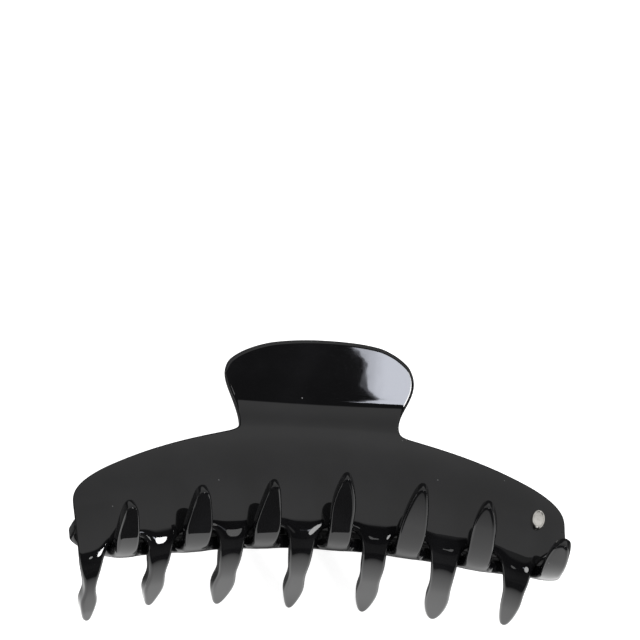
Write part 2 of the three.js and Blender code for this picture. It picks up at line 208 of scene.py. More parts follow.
class JawSettings(bpy.types.PropertyGroup):
    """Sizes of a jaw: its sheet, its bends, its outline and its teeth"""

    clip_length: length("Clip length", 110, "Length of the clip from end to end")
    thickness: length("Sheet thickness", 3.2, "Thickness of the acetate sheet")
    edge_round: length("Edge rounding", 0.75, "Radius of the tumbled edges")
    bevel_width: length("Bevel width", 2.4, "Width of the soft bevel round the gullets")
    bevel_depth: length("Bevel depth", 0.3, "Depth of the soft bevel round the gullets")
    bevel_reach: length("Bevel reach", 4, "Length over which the soft bevel sets in and fades")
    handle_flat: length("Handle flat", 13.6, "Flat part of the handle, from its top edge down")
    neck_bend: length("Neck bend", 9.4, "Length of the bend under the handle")
    panel_bend: length("Panel bend", 24.6, "Length of the wide bend of the panel")
    root_bend: length("Root bend", 4.1, "Length of the bend at the roots of the teeth")
    hook_bend: length("Hook bend", 6.8, "Length of the tight bend at the top of the teeth")
    tooth_length: length("Longest tooth", 21.9, "Length of the longest tooth under the hook")
    handle_angle: angle("Handle angle", 48, "Heading of the handle from straight down")
    neck_angle: angle("Neck angle", -6, "Heading of the sheet at the neck")
    rim_angle: angle("Rim angle", 44, "Heading of the sheet at the rim")
    hook_angle: angle("Hook angle", 72, "Heading of the sheet where the hook starts")
    tooth_angle: angle("Tooth angle", 96, "Heading of a tooth under the hook")
    tip_angle: angle("Tip angle", 101, "Heading of the longest tooth at its tip")
    rim_half_gap: length("Half rim gap", 1.75, "Half the gap between the two rims")
    rim_height: length("Rim height", 4.5, "Height of the rim in the clip's own frame")
    arch_drop: length("Arch drop", 10.8, "How far the clip's ends drop below its middle")
    arch_fade: length("Arch fade", 15.2, "Length over which the arch sets in")
    end_curl: length("End curl", 4.2, "How far the clip's ends curl in")
    curl_to_rim: length("Curl start to rim", 9.6, "Distance from where the curl fades to the rim")
    curl_length: length("Curl length", 26, "Length over which the curl fades")
    handle_half_width: length("Half handle width", 21.75, "Half the width of the handle")
    left_crown: length("Left crown", 8.1, "How far the handle's top edge falls to its left corner")
    right_crown: length("Right crown", 9.2, "How far the handle's top edge falls to its right corner")
    left_neck: length("Left neck", 17.9, "Distance from the clip's middle to the neck's left side")
    right_neck: length("Right neck", 18.4, "Distance from the clip's middle to the neck's right side")
    neck_place: length("Neck place", 19.6, "Place of the neck below the handle's top")
    shoulder_half_width: length("Half shoulder width", 19.6, "Half the width where the shoulders start")
    shoulder_place: length("Shoulder place", 22.6, "Place where the shoulders start")
    shoulder_reach: length("Shoulder reach", 35.5, "How far out the shoulder's curve is pulled")
    shoulder_fall: length("Shoulder fall", 26.3, "How far down the shoulder's curve is pulled")
    nose_rise: length("Nose rise", 27.9, "How far up the nose's curve is pulled")
    nose_to_rim: length("Nose to rim", 9.9, "Distance from the nose to the rim")
    nose_flat: length("Nose flat", 2.2, "Half the height of the nose's straight edge")
    root_drop: length("Root drop", 1.9, "Distance from the rim to the roots of the teeth")
    gullet_rise: length("Gullet rise", 3.2, "How far the gullets rise between the teeth")
    tip_point: length("Tip point", 0.4, "How far a tooth's tip stands out")
    cheek_reach: length("Cheek reach", 0.5, "How far out the cheek's curve starts")
    cheek_rise: length("Cheek rise", 4, "How far up the cheek's curve starts")
    cheek_span: length("Cheek span", 1.5, "How far in the cheek's curve ends")
    cheek_fall: length("Cheek fall", 7, "How far down the cheek's curve ends")


class HingeSettings(bpy.types.PropertyGroup):
    """Sizes of the hinge: its lugs, its pin and its spring"""

    pin_rise: length("Pin rise", 4, "Height of the pin above the neck's end")
    pin_diameter: length("Pin diameter", 2, "Diameter of the pin")
    bore_clearance: length("Bore clearance", 0.35, "Room round the pin in a lug's bore")
    eye_diameter: length("Eye diameter", 7.2, "Diameter of a lug's rounded eye")
    lug_thickness: length("Lug thickness", 2.6, "Thickness of a lug")
    lug_half_height: length("Half lug height", 4.6, "Half the height of a lug's seat")
    lug_gap: length("Lug gap", 0.4, "Gap between two lugs")
    lug_seat: length("Lug seat", 0.2, "How deep a lug is bonded into its jaw")
    lug_round: length("Lug rounding", 0.3, "Radius of a lug's edges")
    head_diameter: length("Head diameter", 3.6, "Diameter of the pin's riveted heads")
    head_height: length("Head height", 0.8, "Height of the pin's riveted heads")
    head_gap: length("Head gap", 0.3, "Gap between a head and its lug")
    wire_diameter: length("Wire diameter", 1.2, "Diameter of the spring wire")
    coil_diameter: length("Coil diameter", 6, "Diameter of the coil at the wire's middle")
    coil_gap: length("Coil gap", 0.6, "Gap between two turns")
    leg_place: length("Leg place", 10.5, "Place where a leg presses on its handle")
    leg_gap: length("Leg gap", 0.3, "Gap between a leg's end and the handle")
    spring_end_gap: length("Spring end gap", 0.5, "Gap between the coil and a lug")


class StudSettings(bpy.types.PropertyGroup):
    """Sizes of the plain oval stud near the clip's end"""

    place: length("Place", 37, "Place of the stud below the handle's top")
    end_distance: length("End distance", 6.6, "Distance from the clip's end")
    width: length("Width", 3, "Width of the stud")
    height: length("Height", 4.6, "Height of the stud")
    rise: length("Rise", 1, "How far the stud rises over the panel")
    foot: length("Foot", 0.15, "How deep the stud is set into the panel")


class FinishSettings(bpy.types.PropertyGroup):
    """Colours and gloss of the finishes"""

    acetate: colour("Acetate", (0.0045, 0.0045, 0.005), "Colour of the jaws")
    lug_acetate: colour("Lug acetate", (0.006, 0.006, 0.0065), "Colour of the lugs")
    pin_steel: colour("Pin steel", (0.55, 0.56, 0.58), "Colour of the pin")
    spring_steel: colour("Spring steel", (0.42, 0.43, 0.45), "Colour of the spring wire")
    stud_metal: colour("Stud metal", (0.72, 0.7, 0.66), "Colour of the stud")
    floor: colour("Floor", (0.8, 0.8, 0.8), "Colour of the floor")
    gloss: FloatProperty(
        name="Gloss",
        description="Roughness of the polished acetate",
        default=0.018,
        min=0,
        max=1,
        subtype="FACTOR",
    )


class ClipSettings(bpy.types.PropertyGroup):
    """All that can be set on the hair clip"""

    jaw: PointerProperty(type=JawSettings)
    hinge: PointerProperty(type=HingeSettings)
    stud: PointerProperty(type=StudSettings)
    finish: PointerProperty(type=FinishSettings)


# Bent sheet

def smooth(share):
    """A soft step from 0 to 1."""
    share = np.clip(share, 0, 1)
    return share * share * (3 - 2 * share)


class BentSheet:
    """The bent acetate sheet of a jaw, and the way from the clip's own frame to the model's."""

    def __init__(self, jaw, hinge):
        self.jaw = jaw
        self.half_length = jaw.clip_length / 2
        self.neck_end = jaw.handle_flat + jaw.neck_bend
        self.rim = self.neck_end + jaw.panel_bend
        self.root_line = self.rim + jaw.root_drop
        self.nose = self.rim - jaw.nose_to_rim
        self.draw_profile()
        neck_end_height = np.interp(self.neck_end, self.profile_s, self.profile_z)
        self.pin_height = neck_end_height + hinge.pin_rise
        self.lay_on_back()

    def draw_profile(self):
        """Follows the bends from the handle's top edge down, and sets the rim at its height."""
        jaw = self.jaw
        bends = (
            (jaw.handle_flat, jaw.handle_angle, jaw.handle_angle),
            (jaw.neck_bend, jaw.handle_angle, jaw.neck_angle),
            (jaw.panel_bend, jaw.neck_angle, jaw.rim_angle),
            (jaw.root_bend, jaw.rim_angle, jaw.hook_angle),
            (jaw.hook_bend, jaw.hook_angle, jaw.tooth_angle),
            (jaw.tooth_length, jaw.tooth_angle, jaw.tip_angle),
        )
        ends = np.concatenate([[0], np.cumsum([bend[0] for bend in bends])])
        middles = np.arange(PROFILE_STEP / 2 - BEND_BLEND, ends[-1] + BEND_BLEND, PROFILE_STEP)
        headings = np.interp(middles, ends, [bends[0][1]] + [bend[2] for bend in bends])
        window = round(2 * BEND_BLEND / PROFILE_STEP)
        headings = np.convolve(headings, np.ones(window + 1) / (window + 1), mode="valid")
        headings = np.maximum(headings, LEAST_HEADING)
        self.profile_s = np.arange(len(headings) + 1) * PROFILE_STEP
        self.profile_y = np.concatenate([[0], np.cumsum(np.sin(headings) * PROFILE_STEP)])
        self.profile_z = np.concatenate([[0], -np.cumsum(np.cos(headings) * PROFILE_STEP)])
        self.profile_y += -jaw.rim_half_gap - np.interp(self.rim, self.profile_s, self.profile_y)
        self.profile_z += jaw.rim_height - np.interp(self.rim, self.profile_s, self.profile_z)

    def middle(self, x, s):
        """The sheet's middle layer: an arch along the clip, with both ends curled in."""
        jaw = self.jaw
        fade = smooth((s - jaw.handle_flat) / jaw.arch_fade)
        across = np.abs(x) / self.half_length
        drop = jaw.arch_drop * across**2 * fade
        curl_share = 1 - np.clip((s - self.rim + jaw.curl_to_rim) / jaw.curl_length, 0, 1)
        curl = jaw.end_curl * across**CURL_POWER * curl_share * fade
        y = np.interp(s, self.profile_s, self.profile_y)
        z = np.interp(s, self.profile_s, self.profile_z)
        return np.stack([x, y + curl, z - drop + curl], axis=-1)

    def frame_at(self, x, s):
        """The middle layer's place at a spot of the flat blank, and the way out of the sheet there."""
        x = np.asarray(x, dtype=float)
        s = np.asarray(s, dtype=float)
        along = self.middle(x + PROBE_STEP, s) - self.middle(x - PROBE_STEP, s)
        down = self.middle(x, s + PROBE_STEP) - self.middle(x, np.maximum(s - PROBE_STEP, 0))
        outward = np.cross(down, along)
        outward /= np.linalg.norm(outward, axis=-1, keepdims=True)
        return self.middle(x, s), outward

    def bent(self, x, s, out):
        """Takes a place on the flat blank to its place on the bent jaw, out from the middle layer."""
        spot, outward = self.frame_at(x, s)
        return spot + outward * np.asarray(out, dtype=float)[..., None]

    def lay_on_back(self):
        """Finds how the clip lies: on the lower handle's top edge and the longest upper teeth."""
        jaw = self.jaw
        handle_edge = self.bent(0, jaw.edge_round, jaw.thickness / 2)
        tooth_tip = self.bent(0, self.root_line + jaw.tooth_length, 0)
        tilt = math.atan2(-handle_edge[1] - tooth_tip[1], handle_edge[2] - tooth_tip[2]) - math.pi / 2
        self.turn = np.array(Matrix.Rotation(tilt, 3, "X"))
        low, high = (np.array(corner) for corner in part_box("hinge_pin"))
        self.pin_centre = (low + high) / 2
        self.shift = self.pin_centre - self.turn @ np.array([0, 0, self.pin_height])

    def lay(self, places, turned=False):
        """Takes places from the clip's own frame to the model's; turned is the second jaw's half turn."""
        places = np.asarray(places, dtype=float)
        if turned:
            places = places * np.array([-1, -1, 1])
        return places @ self.turn.T + self.shift

    def handle_corner(self, right):
        """How far the handle's top edge falls to a corner, and how square that corner is."""
        if right:
            return self.jaw.right_crown, RIGHT_CROWN_POWER
        return self.jaw.left_crown, LEFT_CROWN_POWER

    def handle_side(self, s, right):
        """Half the handle's width at a place, on one side."""
        jaw = self.jaw
        crown, power = self.handle_corner(right)
        neck = jaw.right_neck if right else jaw.left_neck
        if s < crown:
            share = 1 - (1 - s / crown) ** 2
            return jaw.handle_half_width * share ** (1 / power)
        if s < jaw.neck_place:
            share = smooth((s - crown) / (jaw.neck_place - crown))
            return jaw.handle_half_width - (jaw.handle_half_width - neck) * share
        share = min((s - jaw.neck_place) / (jaw.shoulder_place - jaw.neck_place), 1)
        flare = 1 - math.sqrt(1 - share**2)
        return neck + (jaw.shoulder_half_width - neck) * flare

    def crown(self, x):
        """How far the handle's top edge has dropped at a distance from the middle."""
        crown, power = self.handle_corner(x > 0)
        share = min(abs(x) / self.jaw.handle_half_width, 1)
        return crown * (1 - math.sqrt(1 - share**power))

    def place_at_height(self, height):
        """The place on the profile, above the rim, that has a height."""
        above_rim = self.profile_s < self.rim
        away = np.abs(self.profile_z[above_rim] - height)
        return self.profile_s[above_rim][np.argmin(away)]


def bezier(corners, share):
    """A point on a cubic curve with four corners."""
    a, b, c, d = (np.array(corner) for corner in corners)
    rest = 1 - share
    return rest**3 * a + 3 * rest**2 * share * b + 3 * rest * share**2 * c + share**3 * d


# Blank

def blank_columns(sheet, teeth):
    """The columns of the blank, from its left end."""
    jaw = sheet.jaw
    half_roots = [tooth.widths[0] * MM / 2 for tooth in teeth]
    centres = [tooth.place * MM for tooth in teeth]
    columns = []
    for tooth, (centre, half) in enumerate(zip(centres, half_roots)):
        for side in (-1, 0, 1):
            columns.append(Column(centre + side * half, sheet.root_line, tooth, side))
        if tooth + 1 == len(centres):
            continue
        start = centre + half
        end = centres[tooth + 1] - half_roots[tooth + 1]
        for k in range(1, GULLET_CELLS):
            turn = math.pi * k / GULLET_CELLS
            x = (start + end) / 2 - math.cos(turn) * (end - start) / 2
            s = sheet.root_line - jaw.gullet_rise * math.sqrt(math.sin(turn))
            columns.append(Column(x, s, None, 0))
    last = columns[-1]
    cheek = (
        (last.x, last.s),
        (last.x + jaw.cheek_reach, last.s - jaw.cheek_rise),
        (sheet.half_length - jaw.cheek_span, last.s - jaw.cheek_fall),
        (sheet.half_length, sheet.nose + jaw.nose_flat),
    )
    for k in range(1, CHEEK_CELLS + 1):
        x, s = bezier(cheek, k / CHEEK_CELLS)
        columns.append(Column(x, s, None, 0))
    return columns


def column_tops(sheet, columns):
    """The columns' top ends: along the neck's line and, outside it, along the two shoulders."""
    jaw = sheet.jaw
    shoulder = (
        (jaw.shoulder_half_width, jaw.shoulder_place),
        (jaw.shoulder_reach, jaw.shoulder_fall),
        (sheet.half_length, jaw.nose_rise),
        (sheet.half_length, sheet.nose - jaw.nose_flat),
    )
    places = np.array([column.x for column in columns])
    left = int(np.argmin(np.abs(places + jaw.shoulder_half_width)))
    right = int(np.argmin(np.abs(places - jaw.shoulder_half_width)))
    tops = []
    for i, x in enumerate(places):
        if i <= left:
            top = bezier(shoulder, (left - i) / left) * (-1, 1)
        elif i >= right:
            top = bezier(shoulder, (i - right) / (len(columns) - 1 - right))
        else:
            top = np.array([x, jaw.shoulder_place])
        tops.append(top)
    return tops, left, right


def blank_net(sheet, teeth):
    """Where each crossing of the blank's net lies on the flat sheet, by column and row.

    Row 0 is the panel's top line. The handle's rows are below 0, and the teeth's follow the panel's.
    """
    jaw = sheet.jaw
    columns = blank_columns(sheet, teeth)
    tops, left, right = column_tops(sheet, columns)
    net = {}
    for i, column in enumerate(columns):
        for row in range(PANEL_ROWS + 1):
            net[i, row] = tops[i] + (np.array([column.x, column.s]) - tops[i]) * row / PANEL_ROWS
        if column.tooth is None:
            continue
        tooth = teeth[column.tooth]
        for row in range(1, TOOTH_ROWS + 1):
            share = row / TOOTH_ROWS
            middle = tooth.place + tooth.lean * share**LEAN_POWER
            across = middle + column.side * tooth.widths[row] / 2
            down = sheet.root_line + tooth.length * MM * share
            if row == TOOTH_ROWS:
                down -= jaw.tip_point * abs(column.side)
            net[i, PANEL_ROWS + row] = np.array([across * MM, down])
    crown_half = jaw.handle_half_width * CROWN_END_SHARE
    for row in range(1, HANDLE_ROWS + 1):
        share = (row / HANDLE_ROWS) ** HANDLE_ROW_POWER
        for i in range(left, right + 1):
            across = tops[i][0] / jaw.shoulder_half_width
            across += CORNER_CROWDING * share * across * (1 - across**2)
            corner = sheet.crown(math.copysign(crown_half, across))
            side = jaw.shoulder_place + (corner - jaw.shoulder_place) * share
            half = crown_half if row == HANDLE_ROWS else sheet.handle_side(side, across > 0)
            top = sheet.crown(across * crown_half)
            down = jaw.shoulder_place + (top - jaw.shoulder_place) * share
            net[i, -row] = np.array([across * half, down])
    tooth_columns = [i for i, column in enumerate(columns) if column.tooth is not None]
    return net, len(columns), (left, right), tooth_columns


# Mesh tools

def name_piece(name):
    """Names the new piece and its mesh."""
    piece = bpy.context.object
    piece.name = name
    piece.data.name = name
    return piece


def read_places(piece):
    """The places of a piece's vertices."""
    places = np.empty(len(piece.data.vertices) * 3)
    piece.data.vertices.foreach_get("co", places)
    return places.reshape(-1, 3)


def write_places(piece, places):
    """Puts a piece's vertices in their places."""
    piece.data.vertices.foreach_set("co", np.ascontiguousarray(places, dtype=float).ravel())
    piece.data.update()


def edit_mode():
    """Starts to edit the mesh of the active piece."""
    bpy.ops.object.mode_set(mode="EDIT")


def object_mode():
    """Ends the editing."""
    bpy.ops.object.mode_set(mode="OBJECT")


def select(piece, kind, chosen):
    """Selects what chosen picks of a piece's vertices, edges or faces, in edit mode."""
    edit_mode()
    bpy.ops.mesh.select_mode(type=kind)
    bpy.ops.mesh.select_all(action="DESELECT")
    object_mode()
    mesh = piece.data
    parts = {"VERT": mesh.vertices, "EDGE": mesh.edges, "FACE": mesh.polygons}[kind]
    parts.foreach_set("select", [bool(chosen(part)) for part in parts])
    edit_mode()


def face_outward():
    """Turns all faces of the active piece outwards, and ends any editing with all of it selected."""
    edit_mode()
    bpy.ops.mesh.select_all(action="SELECT")
    bpy.ops.mesh.normals_make_consistent(inside=False)
    object_mode()


def open_edges(mesh):
    """Which edges of a mesh have one face only."""
    face_edges = np.empty(len(mesh.loops), dtype=int)
    mesh.loops.foreach_get("edge_index", face_edges)
    return np.bincount(face_edges, minlength=len(mesh.edges)) == 1


def extrude(step):
    """Extrudes what is selected by a step."""
    bpy.ops.mesh.extrude_region_move(TRANSFORM_OT_translate={"value": step})


def finish_modifier(piece, kind, **values):
    """Adds a modifier with its values and applies it."""
    modifier = piece.modifiers.new(kind.title(), kind)
    for name, value in values.items():
        setattr(modifier, name, value)
    bpy.ops.object.modifier_apply(modifier=modifier.name)


def copy_piece(piece, name):
    """A copy of a piece with its own mesh."""
    copy = piece.copy()
    copy.data = piece.data.copy()
    copy.name = name
    copy.data.name = name
    bpy.context.scene.collection.objects.link(copy)
    return copy


def shade_smooth(piece, sharp_angle=None):
    """Shades a piece smoothly, with edges above an angle kept sharp where one is given."""
    bpy.ops.object.select_all(action="DESELECT")
    piece.select_set(True)
    bpy.context.view_layer.objects.active = piece
    if sharp_angle is None:
        bpy.ops.object.shade_smooth()
    else:
        bpy.ops.object.shade_smooth_by_angle(angle=sharp_angle)


def finish_piece(piece, material, body, node):
    """Gives a piece its material and slot, puts it on its body and lets it stand for its node."""
    piece.data.materials.clear()
    piece.data.materials.append(material)
    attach(piece, body)
    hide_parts(node)


# Materials

# A value goes from low at start to high at end
Ramp = namedtuple("Ramp", "start end low high")

# A noise has a scale in cells a metre, and a detail
Noise = namedtuple("Noise", "scale detail")

WHITE = (1, 1, 1, 1)

# The sockets for colours on a Mix node
MIX_COLOURS = (6, 7)
MIX_RESULT = 2

# Acetate: its clouds, specks of dust, hairlines, wiped patches and orange peel
CLOUDS = Noise(70, 3)
CLOUD_SHARE = Ramp(0.4, 0.7, 0, 1)
CLOUD_LIFT = 1.7
DUST_CELLS = 260
DUST_SPECK = Ramp(0.02, 0.05, 1, 0)
BARE_CELLS = 0.65
DUST_COLOUR = (0.35, 0.35, 0.36)
DUST_SHARE = 0.35
DUST_ROUGHNESS = 0.4
HAIRLINES = Noise(190, 2)
HAIRLINE_STRETCH = (1, 14, 9)
HAIRLINE_TURN = (0.3, 0.5, 0.9)
HAIRLINE_WEAR = Ramp(0.62, 0.7, 0, 0.012)
WIPED_WEAR = Ramp(0.35, 0.75, 0, 0.008)
PEEL = Noise(330, 1)
PEEL_STRENGTH = 0.2
PEEL_DEPTH = 0.01 * MM
ACETATE_IOR = 1.49

# The lugs are tumbled but not polished, and this many times as rough as the jaws
LUG_DULLING = 4

# Metal: its tarnish and its grain
TARNISH = Noise(400, 3)
TARNISH_SHARE = Ramp(0.35, 0.7, 0, 1)
TARNISH_SHADE = 0.72
GRAIN_WEAR = Ramp(0.3, 0.7, 0, 0.12)
GRAIN_STRENGTH = 0.3

# The metals: roughness, grain, how the grain is stretched, and how deep it is
METALS = {
    "pin_steel": (0.2, Noise(3000, 4), (0.1, 1, 1), 0.002 * MM),
    "spring_wire": (0.25, Noise(2500, 4), (0.15, 1, 1), 0.003 * MM),
    "stud_metal": (0.12, Noise(2000, 4), (1, 1, 1), 0.001 * MM),
}

# Floor: its paper, the light that makes it white for the camera, and the pool of light along Y in front of
# the clip, as the clip mirrors it
PAPER = Noise(220, 5)
PAPER_SHARE = Ramp(0.3, 0.7, 0, 1)
PAPER_SHADE = 0.97
FLOOR_LIFT = 0.86
# The pool is painted light, a glow that only mirrored rays see, and its fade under the clip is painted shade
POOL_FRONT = Ramp(-0.105, -0.085, 0.1, 1)
POOL_RISE = Ramp(-0.09, -0.025, 0.55, 2.7)
POOL_BACK = Ramp(-0.022, -0.007, 1, 0.05)

# World: its level on matt surfaces, and what is mirrored by degrees past the zenith, towards the front
MATT_LEVEL = 0.7
OVERHEAD = Ramp(-15, 30, 0.66, 0.84)
BEHIND = Ramp(-55, -22, 1.05, 1)
FRONT_EDGE = Ramp(35, 40, 1, 0)
BACK_EDGE = Ramp(-62, -54, 0, 1)
FAR_SIDE = Ramp(55, 80, 0.05, 0.14)


class Nodes:
    """A material's or the world's nodes, added and linked by name."""

    def __init__(self, owner):
        owner.use_nodes = True
        self.tree = owner.node_tree
        self.tree.nodes.clear()

    def add(self, kind, values=None, links=None, **settings):
        """Adds a node with settings, socket values and links into its sockets."""
        node = self.tree.nodes.new(kind)
        for name, value in settings.items():
            setattr(node, name, value)
        for name, value in (values or {}).items():
            node.inputs[name].default_value = value
        for name, socket in (links or {}).items():
            self.tree.links.new(socket, node.inputs[name])
        return node

    def math(self, operation, first, second=0.0):
        """A Math node of two numbers or sockets."""
        node = self.add("ShaderNodeMath", operation=operation)
        for i, value in enumerate((first, second)):
            if isinstance(value, bpy.types.NodeSocket):
                self.tree.links.new(value, node.inputs[i])
            else:
                node.inputs[i].default_value = value
        return node.outputs[0]

    def ramp(self, value, steps, shape="SMOOTHSTEP"):
        """A value taken over a ramp."""
        node = self.add(
            "ShaderNodeMapRange",
            {"From Min": steps.start, "From Max": steps.end, "To Min": steps.low, "To Max": steps.high},
            {"Value": value},
            interpolation_type=shape,
        )
        return node.outputs[0]

    def noise(self, kind, places):
        """A noise at the given places."""
        values = {"Scale": kind.scale, "Detail": kind.detail}
        return self.add("ShaderNodeTexNoise", values, {"Vector": places}).outputs["Fac"]

    def stretched(self, places, **values):
        """Places stretched and turned by a Mapping node."""
        return self.add("ShaderNodeMapping", values, {"Vector": places}).outputs["Vector"]

    def axis(self, places, name):
        """One axis of the given places."""
        return self.add("ShaderNodeSeparateXYZ", links={"Vector": places}).outputs[name]

    def bump(self, height, strength, depth):
        """A bumped normal from a height."""
        node = self.add("ShaderNodeBump", {"Strength": strength, "Distance": depth}, {"Height": height})
        return node.outputs["Normal"]

    def finish(self, shader, kind="Material"):
        """Links a shader to the output."""
        self.add(f"ShaderNodeOutput{kind}", links={"Surface": shader.outputs[0]})

    def blend(self, kind, first, second):
        """Adds or mixes two shaders."""
        node = self.add(kind)
        self.tree.links.new(first.outputs[0], node.inputs[-2])
        self.tree.links.new(second.outputs[0], node.inputs[-1])
        return node

    def mix(self, share, first, second):
        """Mixes two colours or colour sockets."""
        node = self.add("ShaderNodeMix", data_type="RGBA")
        for i, value in zip(MIX_COLOURS, (first, second)):
            if isinstance(value, bpy.types.NodeSocket):
                self.tree.links.new(value, node.inputs[i])
            else:
                node.inputs[i].default_value = (*value, 1)
        self.tree.links.new(share, node.inputs[0])
        return node.outputs[MIX_RESULT]


def new_material(name):
    """A new material, its nodes, and the places that its patterns read."""
    material = bpy.data.materials.new(name)
    nodes = Nodes(material)
    return material, nodes, nodes.add("ShaderNodeTexCoord").outputs["Object"]


def acetate_material(name, base, roughness):
    """Black cellulose acetate: glossy, with clouds, an orange peel, hairlines, wiped patches and dust."""
    material, nodes, places = new_material(name)
    clouds = nodes.noise(CLOUDS, places)
    lighter = tuple(min(channel * CLOUD_LIFT, 1) for channel in base)
    cloudy = nodes.mix(nodes.ramp(clouds, CLOUD_SHARE), tuple(base), lighter)

    # Dust: one small speck in some of the cells
    cells = nodes.add("ShaderNodeTexVoronoi", {"Scale": DUST_CELLS}, {"Vector": places})
    speck = nodes.ramp(cells.outputs["Distance"], DUST_SPECK)
    chance = nodes.add("ShaderNodeSeparateColor", links={"Color": cells.outputs["Color"]}).outputs[0]
    dust = nodes.math("MULTIPLY", speck, nodes.math("GREATER_THAN", chance, BARE_CELLS))
    dusty = nodes.mix(nodes.math("MULTIPLY", dust, DUST_SHARE), cloudy, DUST_COLOUR)

    # Hairlines from wear, seen in the roughness alone
    stretched = nodes.stretched(places, Scale=HAIRLINE_STRETCH, Rotation=HAIRLINE_TURN)
    worn = nodes.ramp(nodes.noise(HAIRLINES, stretched), HAIRLINE_WEAR)
    wiped = nodes.ramp(clouds, WIPED_WEAR)
    rough = nodes.math("ADD", nodes.math("ADD", worn, wiped), roughness)
    rough = nodes.math("ADD", rough, nodes.math("MULTIPLY", dust, DUST_ROUGHNESS))

    peel = nodes.bump(nodes.noise(PEEL, places), PEEL_STRENGTH, PEEL_DEPTH)
    nodes.finish(nodes.add(
        "ShaderNodeBsdfPrincipled",
        {"IOR": ACETATE_IOR},
        {"Base Color": dusty, "Roughness": rough, "Normal": peel},
    ))
    return material


def metal_material(name, base):
    """Metal with a fine grain, and tarnish in soft patches."""
    roughness, grain, stretch, depth = METALS[name]
    material, nodes, places = new_material(name)
    lines = nodes.noise(grain, nodes.stretched(places, Scale=stretch))
    tarnish = nodes.ramp(nodes.noise(TARNISH, places), TARNISH_SHARE)
    tinted = nodes.mix(tarnish, tuple(base), tuple(channel * TARNISH_SHADE for channel in base))
    rough = nodes.math("ADD", nodes.ramp(lines, GRAIN_WEAR), roughness)
    nodes.finish(nodes.add(
        "ShaderNodeBsdfPrincipled",
        {"Metallic": 1},
        {"Base Color": tinted, "Roughness": rough, "Normal": nodes.bump(lines, GRAIN_STRENGTH, depth)},
    ))
    return material


def mirrored_rays(nodes):
    """A Light Path node, and 1 for the rays that mirrors and glass send out."""
    path = nodes.add("ShaderNodeLightPath")
    return path, nodes.math("MAXIMUM", path.outputs["Is Glossy Ray"], path.outputs["Is Transmission Ray"])


def floor_material(name, base):
    """Pale paper, white for the camera, and mirrored as a pool of light in front of the clip."""
    material, nodes, places = new_material(name)
    paper = nodes.ramp(nodes.noise(PAPER, places), PAPER_SHARE)
    tinted = nodes.mix(paper, tuple(base), tuple(channel * PAPER_SHADE for channel in base))
    matt = nodes.add("ShaderNodeBsdfDiffuse", links={"Color": tinted})
    path, mirrored = mirrored_rays(nodes)
    lift = nodes.add(
        "ShaderNodeEmission",
        {"Color": WHITE},
        {"Strength": nodes.math("MULTIPLY", path.outputs["Is Camera Ray"], FLOOR_LIFT)},
    )
    bare = nodes.blend("ShaderNodeAddShader", matt, lift)

    depth = nodes.axis(places, "Y")
    level = nodes.math("MULTIPLY", nodes.ramp(depth, POOL_FRONT), nodes.ramp(depth, POOL_RISE, "LINEAR"))
    level = nodes.math("MULTIPLY", level, nodes.ramp(depth, POOL_BACK))
    pool = nodes.add("ShaderNodeEmission", {"Color": WHITE}, {"Strength": level})
    both = nodes.blend("ShaderNodeMixShader", bare, pool)
    nodes.tree.links.new(mirrored, both.inputs[0])
    nodes.finish(both)
    return material


def studio_world():
    """White for the camera; in reflections white overhead and high behind, and dark in front and low behind."""
    world = bpy.data.worlds.new("studio")
    bpy.context.scene.world = world
    nodes = Nodes(world)
    heading = nodes.add("ShaderNodeTexCoord").outputs["Generated"]
    parts = nodes.add("ShaderNodeSeparateXYZ", links={"Vector": heading})
    front = nodes.math("MULTIPLY", parts.outputs["Y"], -1)
    past_zenith = nodes.math("DEGREES", nodes.math("ARCTAN2", front, parts.outputs["Z"]))
    room = nodes.ramp(past_zenith, OVERHEAD)
    for ramp in (BEHIND, FRONT_EDGE, BACK_EDGE):
        room = nodes.math("MULTIPLY", room, nodes.ramp(past_zenith, ramp))
    room = nodes.math("MAXIMUM", room, nodes.ramp(past_zenith, FAR_SIDE))
    path, mirrored = mirrored_rays(nodes)
    seen = nodes.math("MULTIPLY", path.outputs["Is Camera Ray"], 1 - MATT_LEVEL)
    kept = nodes.math("MULTIPLY", nodes.math("ADD", seen, MATT_LEVEL), nodes.math("SUBTRACT", 1, mirrored))
    strength = nodes.math("ADD", kept, nodes.math("MULTIPLY", mirrored, room))
    nodes.finish(nodes.add("ShaderNodeBackground", {"Color": WHITE}, {"Strength": strength}), "World")


# Pieces

def outline_distance(places, starts, ends):
    """The distance of each flat place to the nearest piece of the outline."""
    along = ends - starts
    squared = (along**2).sum(axis=1)
    distances = np.empty(len(places))
    for first in range(0, len(places), OUTLINE_CHUNK):
        part = places[first : first + OUTLINE_CHUNK, None, :]
        share = np.clip(((part - starts) * along).sum(axis=2) / squared, 0, 1)
        away = part - (starts + share[..., None] * along)
        distances[first : first + OUTLINE_CHUNK] = np.sqrt((away**2).sum(axis=2)).min(axis=1)
    return distances


